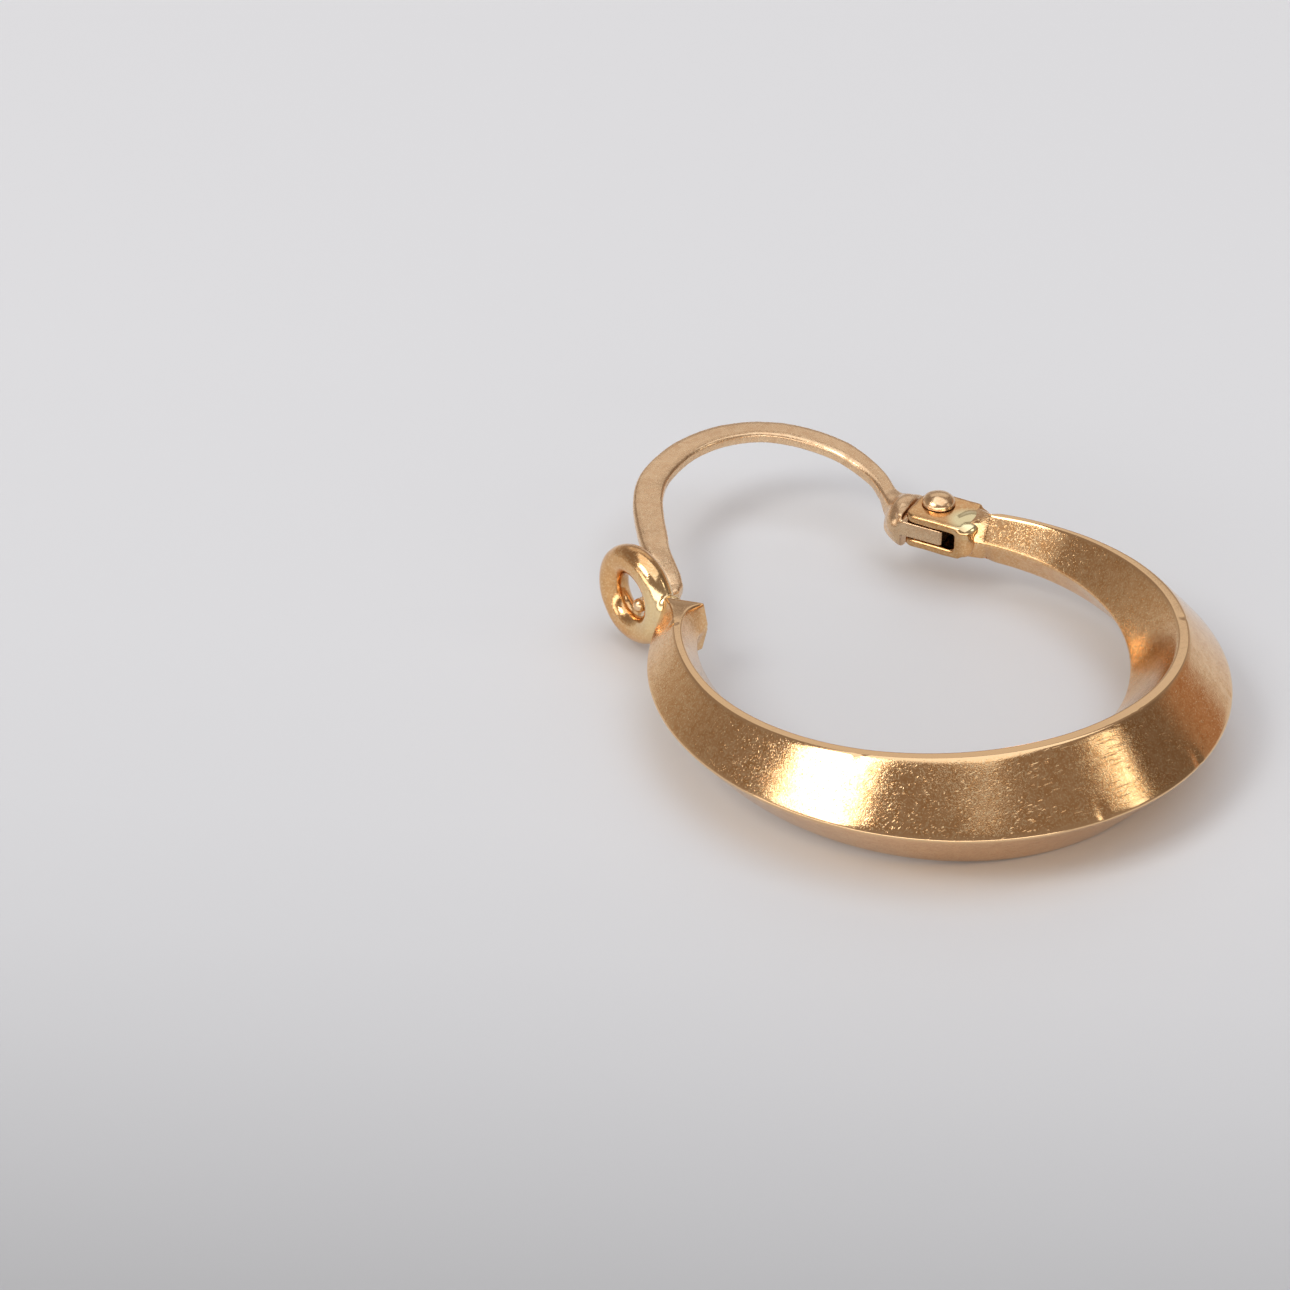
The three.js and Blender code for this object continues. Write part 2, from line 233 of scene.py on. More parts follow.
def pick(piece, kind, wanted):
    """Selects the piece's vertices, edges or faces that are wanted, and leaves it in edit mode."""
    choose(piece)
    bpy.ops.object.mode_set(mode="EDIT")
    bpy.ops.mesh.select_mode(type=kind)
    bpy.ops.mesh.select_all(action="DESELECT")
    bpy.ops.object.mode_set(mode="OBJECT")
    parts = {"VERT": piece.data.vertices, "EDGE": piece.data.edges, "FACE": piece.data.polygons}[kind]
    for part in parts:
        part.select = wanted(part)
    bpy.ops.object.mode_set(mode="EDIT")


def clamp(value):
    return max(0.0, min(1.0, value))


def add_modifier(piece, kind, **settings):
    choose(piece)
    modifier = piece.modifiers.new(kind.lower(), kind)
    for key, value in settings.items():
        setattr(modifier, key, value)
    bpy.ops.object.modifier_apply(modifier=modifier.name)
    return piece


def join(pieces):
    deselect()
    for piece in pieces:
        piece.select_set(True)
    bpy.context.view_layer.objects.active = pieces[0]
    bpy.ops.object.join()
    return pieces[0]


def cut_away(piece, cutter):
    add_modifier(piece, "BOOLEAN", operation="DIFFERENCE", object=cutter, solver="EXACT")
    bpy.data.objects.remove(cutter)
    return piece


def melt(piece, voxel, smoothing):
    """One closed skin over all that overlaps in the piece, softened as solder and worn metal are."""
    choose(piece)
    piece.data.remesh_voxel_size = voxel
    bpy.ops.object.voxel_remesh()
    add_modifier(piece, "SMOOTH", factor=0.5, iterations=smoothing)
    return piece


def soften(piece, weight_at, iterations):
    """Rounds the piece further where weight_at gives a weight."""
    group = piece.vertex_groups.new(name="softened")
    for vertex in piece.data.vertices:
        group.add([vertex.index], weight_at(vertex.co), "REPLACE")
    add_modifier(piece, "SMOOTH", factor=0.5, iterations=iterations, vertex_group=group.name)
    piece.vertex_groups.clear()


def hammer(piece, grain, depth, seed):
    """Low dents of this size and depth, as left by hammering and wear."""
    texture = bpy.data.textures.new(f"dents_{piece.name}_{seed}", "CLOUDS")
    texture.noise_scale = grain
    texture.noise_depth = 1
    add_modifier(piece, "DISPLACE", texture=texture, texture_coords="LOCAL", strength=depth, mid_level=0.5)
    return piece


def smooth(piece, angle=180.0):
    choose(piece)
    if angle >= 180.0:
        bpy.ops.object.shade_smooth()
    else:
        bpy.ops.object.shade_smooth_by_angle(angle=math.radians(angle))
    return piece


def share_at(column, place):
    """A column of the hoop's table at a place between its rows, on a smooth curve through them."""
    row = 0
    while row < len(HOOP_ROWS) - 2 and place > HOOP_ROWS[row + 1][0]:
        row += 1
    before = HOOP_ROWS[max(row - 1, 0)]
    left = HOOP_ROWS[row]
    right = HOOP_ROWS[row + 1]
    after = HOOP_ROWS[min(row + 2, len(HOOP_ROWS) - 1)]
    span = right[0] - left[0]
    t = (place - left[0]) / span
    start_slope = (right[column] - before[column]) / (right[0] - before[0]) * span
    end_slope = (after[column] - left[column]) / (after[0] - left[0]) * span
    rise = 3 * t**2 - 2 * t**3
    return ((1 - rise) * left[column] + (t**3 - 2 * t**2 + t) * start_slope
            + rise * right[column] + (t**3 - t**2) * end_slope)


def place_on_hoop(point):
    """Place along the hoop from -1 to 1, depth out from the knife edges, and height over the middle."""
    flat = point - centre
    turn = math.degrees(math.atan2(flat.x, -flat.y))
    place = turn / (CATCH_END_TURN if turn < 0 else HINGE_END_TURN)
    depth = math.hypot(flat.x, flat.y) - RIDGE_RADIUS
    return max(-1.0, min(1.0, place)), depth, flat.z


# The knife-edged body of the hoop
def make_body():
    deselect()
    bpy.ops.mesh.primitive_circle_add(vertices=6, radius=MM)
    body = named("hoop_body")
    start = outward(-CATCH_END_TURN)
    for number, vertex in enumerate(body.data.vertices):
        angle = number * math.pi / 3
        rise = Vector((0, 0, MM * math.sin(angle)))
        vertex.co = centre + start * (RIDGE_RADIUS + MM * math.cos(angle)) + rise
    bpy.ops.object.mode_set(mode="EDIT")
    bpy.ops.mesh.select_all(action="SELECT")
    bpy.ops.mesh.spin(steps=HOOP_STEPS, angle=-math.radians(CATCH_END_TURN + HINGE_END_TURN),
                      center=centre, axis=(0, 0, 1), dupli=False)
    bpy.ops.object.mode_set(mode="OBJECT")
    last_turn = max(place_on_hoop(vertex.co)[0] for vertex in body.data.vertices)
    for vertex in body.data.vertices:
        place, depth, height = place_on_hoop(vertex.co)
        out = outward(place * (CATCH_END_TURN if place < 0 else HINGE_END_TURN))
        if depth > 0:
            reach = OUTER_DEPTH * share_at(OUTER_COLUMN, place)
        else:
            reach = -INNER_DEPTH * share_at(INNER_COLUMN, place)
        rise = 0.0
        if abs(height) > 0.1 * MM:
            reach *= share_at(FLAT_COLUMN, place)
            rise = math.copysign(HALF_HEIGHT * share_at(HEIGHT_COLUMN, place), height)
        vertex.co = centre + out * (RIDGE_RADIUS + reach) + Vector((0, 0, rise))
    bpy.ops.object.mode_set(mode="EDIT")
    bpy.ops.mesh.select_all(action="DESELECT")
    bpy.ops.mesh.select_mode(type="EDGE")
    bpy.ops.mesh.select_non_manifold()
    bpy.ops.mesh.edge_face_add()
    bpy.ops.mesh.fill_holes(sides=6)
    bpy.ops.object.mode_set(mode="OBJECT")
    return body, last_turn


def run_to_fork(body, last_turn):
    """The hinge end is drawn on into the root of the fork."""
    root = hinge - fork_ahead * (SLOT_DEPTH + FORK_ROOT / 2) + fork_side * (FORK_OUTSIDE - FORK_INSIDE) / 2
    half = (FORK_OUTSIDE + FORK_INSIDE) / 2 - ROOT_INSET
    pick(body, "VERT", lambda vertex: place_on_hoop(vertex.co)[0] > last_turn - 1e-4)
    bpy.ops.mesh.select_mode(type="FACE")
    bpy.ops.mesh.extrude_region_move(TRANSFORM_OT_translate={"value": fork_ahead * ROOT_DRAW})
    bpy.ops.object.mode_set(mode="OBJECT")
    for vertex in body.data.vertices:
        if not vertex.select:
            continue
        place, depth, height = place_on_hoop(vertex.co - fork_ahead * ROOT_DRAW)
        side = math.copysign(half, depth)
        rise = 0.0
        if abs(height) > 0.3 * MM:
            side *= ROOT_NARROWING
            rise = math.copysign(FORK_HALF_HEIGHT - ROOT_LOWERING, height)
        vertex.co = root + fork_side * side + Vector((0, 0, rise))


def round_edges(body, side_edges, width, segments):
    """Rounds the sharp edges of the hoop, either those at half height or the others."""
    choose(body)
    bpy.ops.object.mode_set(mode="EDIT")
    bpy.ops.mesh.select_mode(type="EDGE")
    bpy.ops.mesh.select_all(action="DESELECT")
    bpy.ops.mesh.edges_select_sharp(sharpness=math.radians(24))
    bpy.ops.object.mode_set(mode="OBJECT")
    for edge in body.data.edges:
        at_side = all(abs(body.data.vertices[v].co.z - centre.z) < 0.2 * MM for v in edge.vertices)
        edge.select = edge.select and at_side == side_edges
    bpy.ops.object.mode_set(mode="EDIT")
    bpy.ops.mesh.bevel(offset=width, segments=segments, affect="EDGES", clamp_overlap=True)
    bpy.ops.object.mode_set(mode="OBJECT")


def round_catch_end(body):
    """The cut end at the catch is rounded over, as it is under its solder."""
    along = outward(-CATCH_END_TURN - 90.0)
    pick(body, "FACE", lambda face: place_on_hoop(face.center)[0] < -0.997 and face.normal.dot(along) > 0.9)
    bpy.ops.mesh.inset(thickness=END_INSET, depth=END_RISE)
    bpy.ops.object.mode_set(mode="OBJECT")


def finish_body(body):
    choose(body)
    bpy.ops.object.mode_set(mode="EDIT")
    bpy.ops.mesh.select_all(action="SELECT")
    bpy.ops.mesh.normals_make_consistent(inside=False)
    bpy.ops.object.mode_set(mode="OBJECT")
    round_catch_end(body)
    round_edges(body, side_edges=True, width=SIDE_EDGE_ROUNDING, segments=3)
    round_edges(body, side_edges=False, width=KNIFE_EDGE_ROUNDING, segments=1)
    add_modifier(body, "SUBSURF", levels=2, render_levels=2)
    hammer(body, grain=2.6 * MM, depth=0.016 * MM, seed=1)
    smooth(body)


# Small dents in the knife edge and the outer edge: turn, depth, height, radius and how deep, in mm
DENTS = [
    (-125.0, 0.15, 1.1, 0.2, 0.05),
    (-50.0, 0.15, 1.75, 0.3, 0.03),
    (16.0, 0.15, 2.1, 0.3, 0.025),
    (-2.0, 1.95, 0.2, 0.3, 0.04),
    (-31.0, 1.85, 0.1, 0.3, 0.03),
    (24.0, 1.85, 0.1, 0.3, 0.04),
    (47.0, 1.6, 0.1, 0.3, 0.03),
    (61.0, 0.1, 1.55, 0.3, 0.025),
]


def dent(body):
    for turn, depth, height, radius, deep in DENTS:
        spot = centre + outward(turn) * (RIDGE_RADIUS + depth * MM) + Vector((0, 0, height * MM))
        for vertex in body.data.vertices:
            near = (vertex.co - spot).length / (radius * MM)
            if near < 1.0:
                vertex.co -= vertex.normal * deep * MM * (1 - near * near) ** 2


def mark_edges(body):
    """How polished the metal is: full along the knife edges and the outer edge, none on the faces."""
    polish = body.data.attributes.new("polish", "FLOAT", "POINT")

    def ramp(value, low, high):
        t = clamp((value - low) / (high - low))
        return t * t * (3 - 2 * t)

    for number, vertex in enumerate(body.data.vertices):
        place, depth, height = place_on_hoop(vertex.co)
        tall = abs(height) / (HALF_HEIGHT * share_at(HEIGHT_COLUMN, place))
        deep = depth / (OUTER_DEPTH * share_at(OUTER_COLUMN, place)) if depth > 0 else 0.0
        polish.data[number].value = max(ramp(tall, *BRIGHT_HEIGHTS), ramp(deep, *BRIGHT_DEPTHS))


body, last_turn = make_body()
run_to_fork(body, last_turn)
finish_body(body)
dent(body)
mark_edges(body)


def mark_solder(piece, spot, full, none, most=1.0):
    """Solder shows as yellower gold: most out to one distance from the spot, and none from the other on."""
    solder = piece.data.attributes.new("solder", "FLOAT", "POINT")
    for number, vertex in enumerate(piece.data.vertices):
        away = (vertex.co - spot).length
        solder.data[number].value = most * clamp((none - away) / (none - full))


# The catch ring with the solder that holds it to the hoop's outer corner
def make_ring():
    deselect()
    bpy.ops.mesh.primitive_torus_add(major_segments=72, minor_segments=28, major_radius=RING_RADIUS,
                                     minor_radius=RING_WIRE, rotation=(0.0, math.pi / 2, 0.0))
    ring = named("catch_ring")
    settle(ring)
    ring.data.transform(at_ring)
    across = Vector((-math.sin(RING_TURN), math.cos(RING_TURN), 0.0))
    foot = ring_centre - across * RING_RADIUS
    hoop_end = centre + outward(-CATCH_END_TURN) * RIDGE_RADIUS
    beads = []
    for share, radius, stretch, lift in RING_SOLDER:
        deselect()
        spot = foot.lerp(hoop_end, share) + Vector((0, 0, lift * MM))
        bpy.ops.mesh.primitive_uv_sphere_add(segments=32, ring_count=20, radius=radius * MM,
                                             location=spot, scale=(1.0, 1.0, stretch))
        beads.append(settle(named("catch_solder")))
    ring = join([ring] + beads)
    ring.name = "catch_ring"
    melt(ring, voxel=0.04 * MM, smoothing=8)
    hammer(ring, grain=0.9 * MM, depth=0.03 * MM, seed=2)
    mark_solder(ring, foot.lerp(hoop_end, 0.15), full=0.7 * MM, none=2.0 * MM, most=0.5)
    return smooth(ring)


def mark_painted_shade(piece, in_slot):
    """Painted shade that darkens the gold: a little on the hinge's inner side, and in_slot in the slot between the
    fork's plates.
    """
    painted_shade = piece.data.attributes.new("painted_shade", "FLOAT", "POINT")
    for number, vertex in enumerate(piece.data.vertices):
        ahead, outer, up = from_hinge(vertex.co)
        ahead /= MM
        inward = -outer / MM
        shade_share = SIDE_SHADE * clamp(min((inward - 0.95) / 0.2, (ahead + 1.6) / 0.3, (1.6 - ahead) / 0.5))
        low = abs(up) < FORK_GAP / 2 + 0.04 * MM
        if low and abs(inward) < 1.12 and -1.25 < ahead < FORK_OUTSIDE / MM:
            shade_share = in_slot
        painted_shade.data[number].value = shade_share


# The hinge fork with the solder over its root
def make_fork():
    back = -SLOT_DEPTH - FORK_ROOT
    front = FORK_OUTSIDE
    fork = add_box("hinge_fork", (front - back, FORK_INSIDE + FORK_OUTSIDE, 2 * FORK_HALF_HEIGHT),
                   ((front + back) / 2, (FORK_INSIDE - FORK_OUTSIDE) / 2, 0.0))

    def at_corner(edge, side):
        ends = [fork.data.vertices[number].co for number in edge.vertices]
        return all(abs(end.x - front) < 1e-7 and abs(end.y - side) < 1e-7 for end in ends)

    for corner_y, radius, segments in ((-FORK_OUTSIDE, FORK_OUTSIDE_CORNER, 10),
                                       (FORK_INSIDE, FORK_INSIDE_CORNER, 6)):
        pick(fork, "EDGE", lambda edge: at_corner(edge, corner_y))
        bpy.ops.mesh.bevel(offset=radius, segments=segments, affect="EDGES")
        bpy.ops.object.mode_set(mode="OBJECT")
    slot = add_box("slot_cut", (4 * MM, 6 * MM, FORK_GAP), (2 * MM - SLOT_DEPTH, 0.0, 0.0))
    cut_away(fork, slot)
    add_modifier(fork, "BEVEL", width=FORK_EDGE, segments=2, limit_method="ANGLE",
                 angle_limit=math.radians(40))
    deselect()
    bpy.ops.mesh.primitive_cylinder_add(vertices=32, radius=RIVET_RADIUS + RIVET_HOLE_GAP, depth=4 * MM)
    hole = named("rivet_hole_cut")
    cut_away(fork, hole)
    beads = []
    for ahead, side, lift, size in FORK_SOLDER:
        deselect()
        bpy.ops.mesh.primitive_uv_sphere_add(segments=24, ring_count=16, radius=MM, scale=size,
                                             location=(ahead * MM, -side * MM, lift * MM))
        beads.append(settle(named("hinge_solder")))
    fork = join([fork] + beads)
    fork.name = "hinge_fork"
    fork.data.transform(at_hinge)
    melt(fork, voxel=0.03 * MM, smoothing=80)
    hammer(fork, grain=0.7 * MM, depth=0.03 * MM, seed=3)
    # The outer side is filed flat, where the ear wire's shoulder comes down beside it
    for vertex in fork.data.vertices:
        ahead, outer, up = from_hinge(vertex.co)
        proud = outer - (FORK_OUTSIDE - FORK_FILED)
        if proud > 0 and ahead > FORK_FILED_BACK:
            vertex.co -= fork_side * proud
    mark_solder(fork, hinge - fork_ahead * 1.4 * MM - fork_side * 0.5 * MM + Vector((0, 0, 0.6 * MM)),
                full=0.5 * MM, none=0.85 * MM)
    # Painted shade in the slot between the plates and on the hinge's inner side
    mark_painted_shade(fork, SLOT_SHADE)
    return smooth(fork)


# The rivet: a turned pin with a worn, hammered dome over each plate
def make_rivet():
    seat = FORK_HALF_HEIGHT + RIVET_HEAD_GAP
    half = []
    for degrees in range(0, 91, RIVET_STEP):
        angle = math.radians(degrees)
        half.append((RIVET_HEAD_RADIUS * math.sin(angle), seat + RIVET_HEAD_HEIGHT * math.cos(angle)))
    half.append((RIVET_RADIUS, seat))
    profile = half + [(radius, -height) for radius, height in reversed(half)]
    last_row = len(profile) - 1
    deselect()
    bpy.ops.mesh.primitive_uv_sphere_add(segments=48, ring_count=last_row, radius=MM)
    rivet = named("hinge_rivet_worn")
    for vertex in rivet.data.vertices:
        row = round(math.acos(max(-1.0, min(1.0, vertex.co.z / MM))) / math.pi * last_row)
        radius, height = profile[row]
        around = math.atan2(vertex.co.y, vertex.co.x)
        vertex.co = hinge + Vector((radius * math.cos(around), radius * math.sin(around), height))
    hammer(rivet, grain=0.7 * MM, depth=0.04 * MM, seed=4)
    return smooth(rivet, 40.0)


def free_shoulder(wire):
    """The shoulder is filed back where it comes down on the fork, and its outer corner slopes off."""
    for vertex in wire.data.vertices:
        ahead, outer, up = from_hinge(vertex.co)
        if not SHOULDER_SPAN[0] < ahead < SHOULDER_SPAN[1]:
            continue
        slope = clamp((outer - SHOULDER_SLOPE_START) / SHOULDER_SLOPE_LENGTH)
        vertex.co.z = hinge.z + up * (1 - SHOULDER_SLOPE * slope**2)
        if abs(vertex.co.z - hinge.z) > SHOULDER_FILED_ABOVE and ahead < SHOULDER_FILED:
            vertex.co += fork_ahead * (SHOULDER_FILED - ahead)


# The ear wire, from the solid: one closed skin with its hammer marks
def make_wire():
    choose(frame["nodes"]["ear_wire"])
    bpy.ops.object.duplicate()
    wire = named("ear_wire_hammered")
    for key in [key for key in wire.keys() if key.startswith("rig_")]:
        del wire[key]
    wire.parent = None
    bpy.ops.object.mode_set(mode="EDIT")
    bpy.ops.mesh.select_all(action="SELECT")
    bpy.ops.mesh.remove_doubles(threshold=0.0005 * MM)
    bpy.ops.object.mode_set(mode="OBJECT")
    along = ring_axis()
    foot = ring_centre + Vector((0, 0, -FOOT_SINK)) + FOOT_LOW * along.cross(Vector((0, 0, 1)))
    deselect()
    bpy.ops.mesh.primitive_uv_sphere_add(segments=24, ring_count=16, radius=FOOT_RADIUS)
    tip = named("foot_tip")
    for vertex in tip.data.vertices:
        if vertex.co.x > 0:
            vertex.co.x += FOOT_REACH + FOOT_OVERLAP
    tip.data.transform(Matrix.Translation(foot - along * (FOOT_REACH - FOOT_RADIUS))
                       @ Matrix.Rotation(RING_TURN, 4, "Z"))
    deselect()
    bpy.ops.mesh.primitive_uv_sphere_add(segments=32, ring_count=20, radius=1.0, scale=SHOULDER_SIZE,
                                         location=SHOULDER_PLACE)
    lump = settle(named("shoulder_lump"))
    bpy.ops.object.mode_set(mode="EDIT")
    bpy.ops.mesh.select_all(action="SELECT")
    bpy.ops.mesh.bisect(plane_co=(SHOULDER_FACE, 0, 0), plane_no=(1, 0, 0), clear_inner=True, use_fill=True)
    bpy.ops.object.mode_set(mode="OBJECT")
    lump.data.transform(at_hinge)
    tongue = add_box("tongue_side",
                     (TONGUE_FRONT + TONGUE_BACK, TONGUE_INSIDE + TONGUE_OUTSIDE, TONGUE_HEIGHT),
                     ((TONGUE_FRONT - TONGUE_BACK) / 2, (TONGUE_INSIDE - TONGUE_OUTSIDE) / 2, 0.0))
    tongue.data.transform(at_hinge)
    deselect()
    bpy.ops.mesh.primitive_cylinder_add(vertices=40, radius=RIVET_RADIUS + EYE_GAP, depth=3 * MM,
                                        location=hinge)
    hole = named("eye_cut")
    cut_away(tongue, hole)
    wire = join([wire, tip, lump, tongue])
    wire.name = "ear_wire_hammered"
    melt(wire, voxel=0.034 * MM, smoothing=7)

    def near_shoulder(point):
        ahead = from_hinge(point)[0] / MM
        return clamp(min((ahead - 0.84) / 0.06, (2.9 - ahead) / 0.6))

    soften(wire, near_shoulder, iterations=60)
    hammer(wire, grain=1.1 * MM, depth=0.03 * MM, seed=5)
    free_shoulder(wire)
    # Painted shade on the tongue between the fork's plates and on the inner side at the hinge
    mark_painted_shade(wire, TONGUE_SHADE)
    return smooth(wire)


ring = make_ring()
fork = make_fork()
rivet = make_rivet()
wire = make_wire()


# Dark brown towards which painted shade darkens the gold in the slot, on the tongue and on the hinge's inner side
PAINTED_SHADE_TONE = (0.05, 0.03, 0.015)

# How much of the bright tone a fleck has, and how much of the grain and scratches a blended-in tone loses
FLECK_SHARE = 0.6
BLEND_CALM = 0.7

# Directions of the scratches: turns about X and Z, and how fine they are; their stretch is along and across
SCRATCH_RUNS = [(0.4, 0.5, 1.0), (1.2, 2.1, 0.8), (2.2, 1.3, 1.2)]
SCRATCH_TILT = 0.3
SCRATCH_ALONG = 0.6
SCRATCH_ACROSS = 14.0


# Gold: brown and bright patches, a fine grain that sparkles and thin scratches, with depths in microns.
# Where asked, an attribute blends in a second tone, less scratched, for edges rubbed bright and for solder.
# Where a piece has the attribute of painted shade, the gold is darkened towards a dark brown by it.
def gold(name, tone, shade, bright, roughness, fleck_roughness, grain_depth, scratch_depth, blended=None,
         blend_tone=None):
    material = bpy.data.materials.new(name)
    material.use_nodes = True
    nodes = material.node_tree.nodes
    links = material.node_tree.links
    shader = nodes["Principled BSDF"]
    shader.inputs["Metallic"].default_value = 1.0
    coordinates = nodes.new("ShaderNodeTexCoord")
    millimetres = nodes.new("ShaderNodeMapping")
    millimetres.inputs["Scale"].default_value = (1000.0, 1000.0, 1000.0)
    links.new(coordinates.outputs["Object"], millimetres.inputs["Vector"])

    def noise_of(scale, detail, rough=0.5, vector=millimetres.outputs["Vector"]):
        node = nodes.new("ShaderNodeTexNoise")
        node.inputs["Scale"].default_value = scale
        node.inputs["Detail"].default_value = detail
        node.inputs["Roughness"].default_value = rough
        links.new(vector, node.inputs["Vector"])
        return node.outputs["Fac"]

    def ramp_of(value, low, high, start=0.0, end=1.0):
        node = nodes.new("ShaderNodeMapRange")
        node.inputs["From Min"].default_value = low
        node.inputs["From Max"].default_value = high
        node.inputs["To Min"].default_value = start
        node.inputs["To Max"].default_value = end
        links.new(value, node.inputs["Value"])
        return node.outputs["Result"]

    def mix(share, first, second):
        node = nodes.new("ShaderNodeMix")
        node.data_type = "RGBA"
        for socket, value in ((6, first), (7, second)):
            if isinstance(value, tuple):
                node.inputs[socket].default_value = (*value, 1.0)
            else:
                links.new(value, node.inputs[socket])
        links.new(share, node.inputs["Factor"])
        return node.outputs[2]

    def combine(operation, first, second):
        node = nodes.new("ShaderNodeMath")
        node.operation = operation
        for socket, value in ((0, first), (1, second)):
            if isinstance(value, float):
                node.inputs[socket].default_value = value
            else:
                links.new(value, node.inputs[socket])
        return node.outputs["Value"]

    patches = noise_of(scale=0.55, detail=3.0, rough=0.55)
    mottling = noise_of(scale=3.2, detail=3.0, rough=0.6)
    grain = noise_of(scale=26.0, detail=2.0, rough=0.7)
    flecks = ramp_of(noise_of(scale=14.0, detail=1.0), low=0.52, high=0.62)
    worn = ramp_of(patches, low=0.36, high=0.62, start=0.5, end=1.0)
    colour = mix(ramp_of(mottling, low=0.36, high=0.66), tone, shade)
    colour = mix(combine("MULTIPLY", flecks, FLECK_SHARE), colour, bright)
    rough = combine("ADD", ramp_of(mottling, low=0.35, high=0.65, start=roughness * 0.8, end=roughness * 1.2),
                    combine("MULTIPLY", combine("MULTIPLY", flecks, worn), fleck_roughness))
    marks = None
    for turn_x, turn_z, scale in SCRATCH_RUNS:
        stretched = nodes.new("ShaderNodeMapping")
        stretched.inputs["Rotation"].default_value = (turn_x, SCRATCH_TILT, turn_z)
        stretched.inputs["Scale"].default_value = (SCRATCH_ALONG * scale, SCRATCH_ACROSS * scale,
                                                   SCRATCH_ACROSS * scale)
        links.new(millimetres.outputs["Vector"], stretched.inputs["Vector"])
        streaks = noise_of(scale=1.0, detail=1.0, vector=stretched.outputs["Vector"])
        line = ramp_of(streaks, low=0.68, high=0.76)
        marks = line if marks is None else combine("MAXIMUM", marks, line)
    height = combine("ADD", combine("MULTIPLY", combine("MULTIPLY", grain, worn), grain_depth),
                     combine("MULTIPLY", marks, -scratch_depth))
    if blended:
        attribute = nodes.new("ShaderNodeAttribute")
        attribute.attribute_name = blended
        share = attribute.outputs["Fac"]
        colour = mix(share, colour, blend_tone)
        height = combine("MULTIPLY", height, combine("SUBTRACT", 1.0, combine("MULTIPLY", share, BLEND_CALM)))
    # Painted shade: this attribute darkens the colour towards a dark brown
    painted_shade = nodes.new("ShaderNodeAttribute")
    painted_shade.attribute_name = "painted_shade"
    colour = mix(painted_shade.outputs["Fac"], colour, PAINTED_SHADE_TONE)
    bump = nodes.new("ShaderNodeBump")
    bump.inputs["Strength"].default_value = 1.0
    bump.inputs["Distance"].default_value = MICRON
    links.new(height, bump.inputs["Height"])
    links.new(bump.outputs["Normal"], shader.inputs["Normal"])
    links.new(colour, shader.inputs["Base Color"])
    links.new(rough, shader.inputs["Roughness"])
    return material


satin_gold = gold("satin_gold", tone=(0.87, 0.55, 0.28), shade=(0.75, 0.42, 0.18), bright=(0.96, 0.73, 0.43),
                  roughness=0.08, fleck_roughness=0.1, grain_depth=4.0, scratch_depth=2.5,
                  blended="polish", blend_tone=(0.86, 0.58, 0.32))
wire_gold = gold("hammered_rose_gold", tone=(0.88, 0.62, 0.38), shade=(0.80, 0.53, 0.31),
                 bright=(0.93, 0.70, 0.45), roughness=0.25, fleck_roughness=0.08, grain_depth=2.5,
                 scratch_depth=1.5)
soldered_gold = gold("soldered_gold", tone=(0.81, 0.47, 0.21), shade=(0.71, 0.39, 0.16),
                     bright=(0.91, 0.64, 0.35), roughness=0.11, fleck_roughness=0.08, grain_depth=3.0,
                     scratch_depth=1.0, blended="solder", blend_tone=(0.98, 0.87, 0.52))
rivet_gold = gold("rubbed_yellow_gold", tone=(0.87, 0.61, 0.36), shade=(0.79, 0.51, 0.28),
                  bright=(0.93, 0.70, 0.44), roughness=0.2, fleck_roughness=0.06, grain_depth=2.0,
                  scratch_depth=1.0)


def clothe(piece, material, node_body):
    piece.data.materials.clear()
    piece.data.materials.append(material)
    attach(piece, node_body)


clothe(body, satin_gold, "hoop")
clothe(ring, soldered_gold, "hoop")
clothe(fork, soldered_gold, "hoop")
clothe(rivet, rivet_gold, "hoop")
clothe(wire, wire_gold, "ear_wire")
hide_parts("hoop")
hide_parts("hinge_rivet")
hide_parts("ear_wire")


# The pale floor, with painted shade that darkens it towards the front as the light falls off there: distance from
# the middle in mm and tone
FLOOR_SHADE_TONES = [(-60.0, 0.83), (-20.0, 0.81), (0.0, 0.78), (10.0, 0.75), (17.0, 0.71), (22.0, 0.66),
               (28.0, 0.58), (36.0, 0.46)]
FLOOR_FRONT = (-0.6, -0.8, 0.0)
FLOOR_TINT = (0.985, 1.02, 1.07)
FLOOR_ROUGHNESS = 0.55
FLOOR_WIDTH = 3.0


